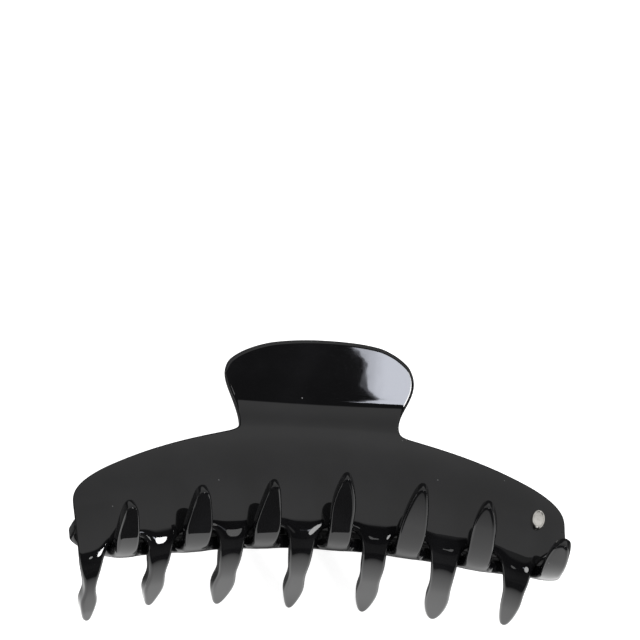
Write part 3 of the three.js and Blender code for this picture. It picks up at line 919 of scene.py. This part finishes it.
def draw_blank(sheet, teeth, name):
    """Draws the flat blank: a net, with the handle extruded from its top and the teeth from its foot."""
    jaw = sheet.jaw
    net, column_count, (left, right), tooth_columns = blank_net(sheet, teeth)
    cells = column_count - 1
    bpy.ops.object.select_all(action="DESELECT")
    bpy.ops.mesh.primitive_grid_add(x_subdivisions=cells, y_subdivisions=PANEL_ROWS, size=1)
    piece = name_piece(name)
    edit_mode()
    bpy.ops.transform.resize(value=(cells, PANEL_ROWS, 1))
    bpy.ops.transform.translate(value=(cells / 2, -PANEL_ROWS / 2, 0))
    select(piece, "VERT", lambda corner: (
        corner.co.y > -HALF_CELL and left - HALF_CELL < corner.co.x < right + HALF_CELL))
    for _ in range(HANDLE_ROWS):
        extrude((0, 1, 0))
    select(piece, "VERT", lambda corner: (
        corner.co.y < HALF_CELL - PANEL_ROWS and round(corner.co.x) in tooth_columns))
    for _ in range(TOOTH_ROWS):
        extrude((0, -1, 0))
    object_mode()
    crossings = np.rint(read_places(piece)).astype(int)
    flat = np.array([net[column, -row] for column, row, _ in crossings])
    write_places(piece, np.column_stack([flat[:, 0], -flat[:, 1], np.zeros(len(flat))]))
    face_outward()
    edit_mode()
    for share in EDGE_RINGS:
        bpy.ops.mesh.inset(thickness=jaw.edge_round * share, depth=0)
    object_mode()
    return piece


def make_jaw(sheet, teeth, name):
    """Cuts a jaw from its blank, gives it its thickness and rounded edges, and bends it."""
    jaw = sheet.jaw
    piece = draw_blank(sheet, teeth, name)
    finish_modifier(piece, "SUBSURF", levels=BLANK_SUBDIVISIONS, render_levels=BLANK_SUBDIVISIONS)
    mesh = piece.data
    ends = np.empty(len(mesh.edges) * 2, dtype=int)
    mesh.edges.foreach_get("vertices", ends)
    outline = ends.reshape(-1, 2)[open_edges(mesh)]
    flat = read_places(piece)[:, :2]
    starts = flat[outline[:, 0]]
    finishes = flat[outline[:, 1]]
    finish_modifier(piece, "SOLIDIFY", thickness=jaw.thickness, offset=0)
    places = read_places(piece)
    s = -places[:, 1]
    from_edge = outline_distance(places[:, :2], starts, finishes)
    inside = np.minimum(from_edge, jaw.edge_round)
    rounding = np.sqrt(jaw.edge_round**2 - (jaw.edge_round - inside) ** 2)
    half = jaw.thickness / 2 - jaw.edge_round + rounding
    near_gullets = smooth((s - sheet.rim + jaw.bevel_reach) / jaw.bevel_reach)
    near_gullets *= 1 - smooth((s - sheet.root_line) / jaw.bevel_reach)
    falling = np.clip(1 - from_edge / jaw.bevel_width, 0, 1) ** 2
    half -= jaw.bevel_depth * near_gullets * falling * (places[:, 2] > 0)
    bent = sheet.bent(places[:, 0], s, np.sign(places[:, 2]) * half)
    write_places(piece, bent)
    shade_smooth(piece)
    return piece


def round_corners(turns, radius, height):
    """Corners round the pin's centre, in the clip's own Y and Z."""
    return np.column_stack([np.cos(turns), np.sin(turns)]) * radius + (0, height)


def make_lug(sheet, hinge, start_x, name):
    """Makes a lug: a plate with a round eye for the pin, shaped to its jaw's inner side."""
    jaw = sheet.jaw
    top = sheet.place_at_height(sheet.pin_height + hinge.lug_half_height)
    bottom = sheet.place_at_height(sheet.pin_height - hinge.lug_half_height)
    seat_s = np.linspace(top, bottom, SEAT_STEPS + 1)
    seat = sheet.bent(np.full(len(seat_s), start_x + hinge.lug_thickness / 2), seat_s,
                      np.full(len(seat_s), hinge.lug_seat - jaw.thickness / 2))[:, 1:]
    turns = np.linspace(-math.pi / 2, math.pi / 2, EYE_STEPS)
    outline = np.concatenate([seat, round_corners(turns, hinge.eye_diameter / 2, sheet.pin_height)])
    from_pin = outline - (0, sheet.pin_height)
    headings = np.arctan2(from_pin[:, 1], from_pin[:, 0])
    bore = round_corners(headings, hinge.pin_diameter / 2 + hinge.bore_clearance, sheet.pin_height)

    bpy.ops.object.select_all(action="DESELECT")
    bpy.ops.mesh.primitive_circle_add(vertices=len(outline), radius=hinge.eye_diameter / 2)
    piece = name_piece(name)
    edit_mode()
    bpy.ops.mesh.duplicate_move()
    bpy.ops.transform.resize(value=(INNER_RING_SHARE, INNER_RING_SHARE, 1))
    object_mode()
    flat = np.concatenate([outline, bore])
    write_places(piece, np.column_stack([np.full(len(flat), start_x), flat]))
    edit_mode()
    bpy.ops.mesh.select_all(action="SELECT")
    bpy.ops.mesh.bridge_edge_loops()
    bpy.ops.mesh.select_all(action="SELECT")
    extrude((hinge.lug_thickness, 0, 0))
    face_outward()
    finish_modifier(
        piece,
        "BEVEL",
        width=hinge.lug_round,
        segments=LUG_BEVEL_STEPS,
        limit_method="ANGLE",
        angle_limit=LUG_BEVEL_ANGLE,
    )
    shade_smooth(piece, PLATE_SHARP_ANGLE)
    return piece


def make_pin(sheet, hinge, head_place, name):
    """Makes the pin: a turned rod with a riveted, domed head at each end."""
    bpy.ops.object.select_all(action="DESELECT")
    bpy.ops.mesh.primitive_cylinder_add(
        vertices=PIN_SIDES,
        radius=hinge.pin_diameter / 2,
        depth=2 * head_place,
        rotation=(0, math.pi / 2, 0),
    )
    piece = name_piece(name)
    bpy.ops.object.transform_apply(location=True, rotation=True, scale=True)
    widening = hinge.head_diameter / hinge.pin_diameter
    for side in (-1, 1):
        select(piece, "FACE", lambda face: face.normal.x * side > FACING_SHARE)
        extrude((0, 0, 0))
        bpy.ops.transform.resize(value=(1, widening, widening))
        extrude((side * hinge.head_height * HEAD_WALL_SHARE, 0, 0))
        for shrink, rise in HEAD_STEPS:
            extrude((side * hinge.head_height * rise, 0, 0))
            bpy.ops.transform.resize(value=(1, shrink, shrink))
        bpy.ops.mesh.inset(thickness=hinge.head_diameter * DIMPLE_INSET_SHARE, depth=0)
        bpy.ops.transform.translate(value=(-side * hinge.head_height * DIMPLE_DEPTH_SHARE, 0, 0))
    object_mode()
    write_places(piece, sheet.lay(read_places(piece) + (0, 0, sheet.pin_height)))
    shade_smooth(piece, ROD_SHARP_ANGLE)
    return piece


def spring_winding(sheet, hinge):
    """How the spring winds: a leg's end, the angles where its legs start, and half its coil's length."""
    out = -sheet.jaw.thickness / 2 - hinge.leg_gap - hinge.wire_diameter / 2
    leg_end = sheet.bent(0, hinge.leg_place, out)
    rise = leg_end[2] - sheet.pin_height
    leg_angle = math.atan2(rise, leg_end[1])
    lead = math.acos(hinge.coil_diameter / 2 / math.hypot(leg_end[1], rise))
    start = leg_angle + lead
    end = math.pi - leg_angle - lead + 2 * math.pi * (COIL_TURNS + 1)
    pitch = hinge.wire_diameter + hinge.coil_gap
    return leg_end, start, end, (end - start) / (2 * math.pi) * pitch / 2


def select_wire_end(piece, centre, reach):
    """Selects the open ring of edges near a place, in edit mode."""
    is_open = open_edges(piece.data)

    def is_end(edge):
        """Whether an edge is open and near the place."""
        first, last = (piece.data.vertices[i].co for i in edge.vertices)
        return is_open[edge.index] and ((first + last) / 2 - centre).length < reach

    select(piece, "EDGE", is_end)


def make_spring(sheet, hinge, name):
    """Makes the spring: a wire's round section screwed round the pin, with a straight leg at each end."""
    leg_end, start, end, half_coil = spring_winding(sheet, hinge)
    radius = hinge.coil_diameter / 2
    rounds = COIL_TURNS + 1
    bpy.ops.object.select_all(action="DESELECT")
    bpy.ops.mesh.primitive_circle_add(vertices=WIRE_SIDES, radius=hinge.wire_diameter / 2)
    piece = name_piece(name)
    edit_mode()
    bpy.ops.transform.translate(value=(-half_coil, radius, 0))
    object_mode()
    finish_modifier(
        piece,
        "SCREW",
        axis="X",
        angle=(end - start) / rounds,
        iterations=rounds,
        screw_offset=2 * half_coil / rounds,
        steps=COIL_STEPS,
        render_steps=COIL_STEPS,
    )
    places = read_places(piece)
    turn = np.array(Matrix.Rotation(start, 3, "X"))
    write_places(piece, places @ turn.T + (0, 0, sheet.pin_height))
    for side, heading in ((-1, start), (1, end)):
        coil_end = Vector((side * half_coil, radius * math.cos(heading),
                           sheet.pin_height + radius * math.sin(heading)))
        target = Vector((side * half_coil, -side * leg_end[1], leg_end[2]))
        select_wire_end(piece, coil_end, hinge.wire_diameter)
        step = target - coil_end
        for share in LEG_STEPS:
            extrude(step * share)
        extrude(step * LEG_TIP_SHARE)
        bpy.ops.transform.resize(value=(LEG_TIP_WIDTH, LEG_TIP_WIDTH, LEG_TIP_WIDTH))
        bpy.ops.mesh.edge_face_add()
        object_mode()
    face_outward()
    write_places(piece, sheet.lay(read_places(piece)))
    shade_smooth(piece, ROD_SHARP_ANGLE)
    return piece, half_coil


def make_stud(sheet, stud, name):
    """Makes the stud: a polished oval with a raised rim round a low dome."""
    thickness = sheet.jaw.thickness
    full_height = stud.rise + stud.foot
    bpy.ops.object.select_all(action="DESELECT")
    bpy.ops.mesh.primitive_cylinder_add(vertices=STUD_SIDES, radius=stud.width / 2, depth=full_height)
    piece = name_piece(name)
    edit_mode()
    bpy.ops.transform.resize(value=(1, stud.height / stud.width, 1))
    bpy.ops.transform.translate(value=(0, 0, full_height / 2 - stud.foot))
    select(piece, "FACE", lambda face: face.normal.z > FACING_SHARE)
    bpy.ops.transform.translate(value=(0, 0, -STUD_WALL_DROP * stud.rise))
    for shrink, rise in STUD_STEPS:
        extrude((0, 0, rise * stud.rise))
        bpy.ops.transform.resize(value=(shrink, shrink, 1))
    object_mode()
    x = sheet.half_length - stud.end_distance
    base = sheet.bent(x, stud.place, thickness / 2)
    outward = sheet.frame_at(x, stud.place)[1]
    across = sheet.bent(x + PROBE_STEP, stud.place, thickness / 2) - base
    across -= outward * across.dot(outward)
    across /= np.linalg.norm(across)
    along = np.cross(outward, across)
    axes = np.stack([across, along, outward])
    write_places(piece, sheet.lay(base + read_places(piece) @ axes))
    shade_smooth(piece, PLATE_SHARP_ANGLE)
    return piece


# Operators

def clip_parts():
    """The settings, and the bent sheet that every piece follows."""
    settings = bpy.context.scene.hair_clip
    return settings, BentSheet(settings.jaw, settings.hinge)


def lug_places(sheet, hinge):
    """Where the inner and the outer lugs start along the clip."""
    half_coil = spring_winding(sheet, hinge)[3]
    inner = half_coil + hinge.wire_diameter / 2 + hinge.spring_end_gap
    return inner, inner + hinge.lug_thickness + hinge.lug_gap


class HAIRCLIP_OT_jaws(bpy.types.Operator):
    """Adds the two jaws, each with its handle, panel and seven teeth"""

    bl_idname = "hairclip.jaws"
    bl_label = "Jaws"

    def execute(self, context):
        settings, sheet = clip_parts()
        finish = settings.finish
        material = acetate_material("black_acetate", finish.acetate, finish.gloss)
        for side, teeth in (("upper", UPPER_TEETH), ("lower", LOWER_TEETH)):
            jaw = make_jaw(sheet, teeth, f"{side}_jaw_acetate")
            write_places(jaw, sheet.lay(read_places(jaw), turned=side == "lower"))
            finish_piece(jaw, material, side, f"{side}_jaw")
        return {"FINISHED"}


class HAIRCLIP_OT_lugs(bpy.types.Operator):
    """Adds the four hinge lugs inside the jaws"""

    bl_idname = "hairclip.lugs"
    bl_label = "Hinge lugs"

    def execute(self, context):
        settings, sheet = clip_parts()
        finish = settings.finish
        hinge = settings.hinge
        material = acetate_material("tumbled_acetate", finish.lug_acetate, finish.gloss * LUG_DULLING)
        inner, outer = lug_places(sheet, hinge)
        for place, start_x in (("outer", -outer - hinge.lug_thickness), ("inner", inner)):
            first = make_lug(sheet, hinge, start_x, f"upper_{place}_lug")
            second = copy_piece(first, f"lower_{place}_lug")
            places = read_places(first)
            write_places(first, sheet.lay(places))
            write_places(second, sheet.lay(places, turned=True))
            finish_piece(first, material, "upper", f"upper_lug_{place}")
            finish_piece(second, material, "lower", f"lower_lug_{place}")
        return {"FINISHED"}


class HAIRCLIP_OT_pin(bpy.types.Operator):
    """Adds the hinge pin with its riveted heads"""

    bl_idname = "hairclip.pin"
    bl_label = "Hinge pin"

    def execute(self, context):
        settings, sheet = clip_parts()
        hinge = settings.hinge
        head_place = lug_places(sheet, hinge)[1] + hinge.lug_thickness + hinge.head_gap
        pin = make_pin(sheet, hinge, head_place, "riveted_pin")
        material = metal_material("pin_steel", settings.finish.pin_steel)
        finish_piece(pin, material, "lower", "hinge_pin")
        return {"FINISHED"}


class HAIRCLIP_OT_spring(bpy.types.Operator):
    """Adds the torsion spring, which winds tighter as the clip opens"""

    bl_idname = "hairclip.spring"
    bl_label = "Torsion spring"

    def execute(self, context):
        settings, sheet = clip_parts()
        spring, half_coil = make_spring(sheet, settings.hinge, "wound_spring")
        material = metal_material("spring_wire", settings.finish.spring_steel)
        spring.data.materials.clear()
        spring.data.materials.append(material)
        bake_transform(spring)
        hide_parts("torsion_spring")
        return {"FINISHED"}


class HAIRCLIP_OT_stud(bpy.types.Operator):
    """Adds the plain oval stud"""

    bl_idname = "hairclip.stud"
    bl_label = "Oval stud"

    def execute(self, context):
        settings, sheet = clip_parts()
        stud = make_stud(sheet, settings.stud, "oval_stud")
        material = metal_material("stud_metal", settings.finish.stud_metal)
        finish_piece(stud, material, "upper", "plain_stud")
        return {"FINISHED"}


# Stage: metres and degrees, with the lens in millimetres, seen from the camera's side at -Y
CAMERA_AZIMUTH = -9.34163
CAMERA_ELEVATION = 37.98749
CAMERA_ROLL = 9.1154
CAMERA_DISTANCE = 0.83926
CAMERA_TARGET = (-0.00517, 0, 0.07181)
CAMERA_LENS = 216.853
CAMERA_NEAR = 0.01
CAMERA_FAR = 20
FLOOR_SIZE = 6

# A black card over the pool of light, which keeps it out of the tops of the lower jaw's left teeth
BLACK_FLAG = (
    (-0.06, -0.038, 0.02),
    (-0.013, -0.0235, 0.02),
    (-0.001, -0.0238, 0.02),
    (0.009, -0.0258, 0.02),
    (0.009, -0.12, 0.02),
    (-0.06, -0.12, 0.02),
)
FLAG_GLOW = 0.08

# Nets that dim what is mirrored: name, two opposite corners, share of light let through, and where along Y
# the net thins out, from front to back
NO_FADE = (-1, -0.5)
NETS = (
    ("pool_net", (-0.06, -0.013, 0.0199), (0.046, -0.036, 0.0199), 0.5, (-0.036, -0.021)),
    ("third_tooth_net", (-0.018, -0.045, 0.034), (0.004, -0.045, 0.066), 0.07, NO_FADE),
    ("right_teeth_net", (0.004, -0.045, 0.034), (0.07, -0.045, 0.066), 0.3, NO_FADE),
)

# The photograph's frame is square, with this many pixels a side
FRAME_SIDE = 640

# The bright patch that the handle mirrors in its right half, and the dim one that shows on its left:
# corners listed in the frame's pixels
BRIGHT_PATCH = (
    (349.5, 346), (357, 351.5), (364, 358), (367.5, 364), (367.3, 375),
    (366.5, 384), (369, 390), (374, 396), (382, 400), (392, 403),
    (400, 406), (405, 412), (430, 416), (430, 345), (380, 338),
)
DIM_PATCH = (
    (345.5, 346), (352, 350), (358, 355), (361.5, 360), (363, 366),
    (362.5, 372), (361, 378), (360.3, 384), (363, 390), (369, 396), (376, 400),
    (384, 402.5), (400, 406), (430, 416), (430, 345), (380, 338),
)

# Cards that make those patches: name, patch, distance from the handle, and glow at the left and the right
CARDS = (
    ("bright_card", BRIGHT_PATCH, 0.6, (11, 16)),
    ("dim_card", DIM_PATCH, 0.606, (1.6, 1.6)),
)
CARD_TINT = (0.87, 0.9, 1, 1)
CARD_FADE = (0.094, 0.103)

# Softboxes: name, place on the clip that mirrors it, direction from there, distance, size and brightness
SOFTBOXES = (
    ("right_softbox", (-0.0366, -0.0201, 0.0234), (0.34, -0.74, 0.58), 0.6, (0.1, 0.14), 30),
    ("left_softbox", (0.0355, -0.0203, 0.0229), (-0.07, -0.8, 0.59), 0.6, (0.06, 0.06), 6),
)


def add_camera():
    """Adds the camera at the photograph's viewing angle."""
    azimuth, elevation, roll = (
        math.radians(value) for value in (CAMERA_AZIMUTH, CAMERA_ELEVATION, CAMERA_ROLL))
    back = Vector((
        math.sin(azimuth) * math.cos(elevation),
        -math.cos(azimuth) * math.cos(elevation),
        math.sin(elevation),
    ))
    level = Vector((math.cos(azimuth), math.sin(azimuth), 0))
    upright = back.cross(level)
    right = math.cos(roll) * level + math.sin(roll) * upright
    up = math.cos(roll) * upright - math.sin(roll) * level
    bpy.ops.object.camera_add()
    camera = bpy.context.object
    camera.name = "camera"
    turn = Matrix((right, up, back)).transposed()
    camera.matrix_world = Matrix.Translation(Vector(CAMERA_TARGET) + back * CAMERA_DISTANCE) @ turn.to_4x4()
    camera.data.lens = CAMERA_LENS
    camera.data.clip_start = CAMERA_NEAR
    camera.data.clip_end = CAMERA_FAR
    bpy.context.scene.camera = camera


def glow_material(name, colour, low, high):
    """A glow that rises from low to high along X, over the cards' fade."""
    material, nodes, places = new_material(name)
    strength = nodes.ramp(nodes.axis(places, "X"), Ramp(*CARD_FADE, low, high))
    nodes.finish(nodes.add("ShaderNodeEmission", {"Color": colour}, {"Strength": strength}))
    return material


def net_material(name, share, fade):
    """Black net, which lets a share of the light through and thins out towards the front over a fade."""
    material, nodes, places = new_material(name)
    thin = nodes.ramp(nodes.axis(places, "Y"), Ramp(*fade, 1, share), "LINEAR")
    nodes.finish(nodes.add("ShaderNodeBsdfTransparent", links={"Color": thin}))
    return material


def rectangle(low, high):
    """The corners of a rectangle across X between two opposite corners, flat along Y or Z."""
    (x0, y0, z0), (x1, y1, z1) = low, high
    return (x0, y0, z0), (x1, y0, z0), (x1, y1, z1), (x0, y1, z1)


def mirrored_corners(sheet, patch, distance):
    """The corners of a flat card that fills a patch of the handle where the camera sees it mirrored."""
    flat = np.array([0, sheet.jaw.handle_flat - BEND_BLEND])
    top, foot = sheet.lay(sheet.bent(np.zeros(2), flat, np.full(2, sheet.jaw.thickness / 2)))
    outward = np.cross(foot - top, (1, 0, 0))
    outward /= np.linalg.norm(outward)
    camera = bpy.context.scene.camera
    eye = np.array(camera.matrix_world.translation)
    pixel = camera.data.sensor_width / FRAME_SIDE
    across = [(x - FRAME_SIDE / 2) * pixel for x, y in patch]
    up = [(FRAME_SIDE / 2 - y) * pixel for x, y in patch]
    sights = np.column_stack([across, up, np.full(len(patch), -camera.data.lens)])
    sights = sights @ np.array(camera.matrix_world.to_3x3()).T
    places = eye + sights * (np.dot(top - eye, outward) / (sights @ outward))[:, None]
    mirrored_eye = eye - 2 * np.dot(eye - top, outward) * outward
    rays = places - mirrored_eye
    heading = rays.mean(axis=0)
    reach = np.linalg.norm(heading)
    share = (reach + distance) * reach / (rays @ heading)
    return mirrored_eye + rays * share[:, None]


def add_card(name, corners, material):
    """Adds a flat card with its corners at given places. It shows in reflections only."""
    bpy.ops.object.select_all(action="DESELECT")
    bpy.ops.mesh.primitive_circle_add(vertices=len(corners), radius=1, fill_type="NGON")
    card = name_piece(name)
    write_places(card, corners)
    card.data.materials.append(material)
    card.visible_camera = False
    card.visible_diffuse = False
    card.visible_transmission = False
    card.visible_volume_scatter = False
    card.visible_shadow = False


def add_softbox(name, target, toward, distance, size, brightness):
    """Adds a small soft lamp that a place on the clip mirrors, out along a direction from it."""
    away = Vector(toward).normalized()
    bpy.ops.object.light_add(type="AREA", location=Vector(target) + away * distance)
    lamp = bpy.context.object
    lamp.name = name
    lamp.rotation_euler = away.to_track_quat("Z", "Y").to_euler()
    lamp.data.shape = "ELLIPSE"
    lamp.data.size, lamp.data.size_y = size
    area = math.pi / 4 * size[0] * size[1]
    lamp.data.energy = brightness * math.pi * area
    lamp.visible_camera = False


class HAIRCLIP_OT_stage(bpy.types.Operator):
    """Adds the floor, the studio's light and the camera"""

    bl_idname = "hairclip.stage"
    bl_label = "Stage"

    def execute(self, context):
        settings, sheet = clip_parts()
        add_camera()
        bpy.ops.object.select_all(action="DESELECT")
        bpy.ops.mesh.primitive_plane_add(size=FLOOR_SIZE)
        floor = name_piece("floor")
        floor.data.materials.append(floor_material("pale_paper", settings.finish.floor))
        studio_world()
        for name, patch, distance, glow in CARDS:
            corners = mirrored_corners(sheet, patch, distance)
            add_card(name, corners, glow_material(f"{name}_glow", CARD_TINT, *glow))
        add_card("black_flag", BLACK_FLAG, glow_material("flag_black", WHITE, FLAG_GLOW, FLAG_GLOW))
        for name, low, high, share, fade in NETS:
            add_card(name, rectangle(low, high), net_material(name, share, fade))
        for name, target, toward, distance, size, brightness in SOFTBOXES:
            add_softbox(name, target, toward, distance, size, brightness)
        context.scene.view_settings.view_transform = "Standard"
        return {"FINISHED"}


class HAIRCLIP_PT_panel(bpy.types.Panel):
    """The clip's pieces in the sidebar"""

    bl_idname = "HAIRCLIP_PT_panel"
    bl_label = "Hair clip"
    bl_space_type = "VIEW_3D"
    bl_region_type = "UI"
    bl_category = "Hair clip"

    def draw(self, context):
        layout = self.layout
        settings = context.scene.hair_clip
        for group in (settings.jaw, settings.hinge, settings.stud, settings.finish):
            box = layout.box()
            for name in group.bl_rna.properties.keys():
                if name not in ("name", "rna_type"):
                    box.prop(group, name)
        for operator in OPERATORS:
            layout.operator(operator.bl_idname)


OPERATORS = (
    HAIRCLIP_OT_jaws,
    HAIRCLIP_OT_lugs,
    HAIRCLIP_OT_pin,
    HAIRCLIP_OT_spring,
    HAIRCLIP_OT_stud,
    HAIRCLIP_OT_stage,
)
GROUPS = (JawSettings, HingeSettings, StudSettings, FinishSettings, ClipSettings)
CLASSES = (*GROUPS, *OPERATORS, HAIRCLIP_PT_panel)


def register():
    """Registers the clip's classes and its settings."""
    for kind in CLASSES:
        bpy.utils.register_class(kind)
    bpy.types.Scene.hair_clip = PointerProperty(type=ClipSettings)


def unregister():
    """Removes the clip's settings and its classes."""
    del bpy.types.Scene.hair_clip
    for kind in reversed(CLASSES):
        bpy.utils.unregister_class(kind)


def main():
    """Builds the clip and its stage."""
    register()
    bpy.ops.hairclip.jaws()
    bpy.ops.hairclip.lugs()
    bpy.ops.hairclip.pin()
    bpy.ops.hairclip.spring()
    bpy.ops.hairclip.stud()
    bpy.ops.hairclip.stage()


if __name__ == "__main__":
    main()
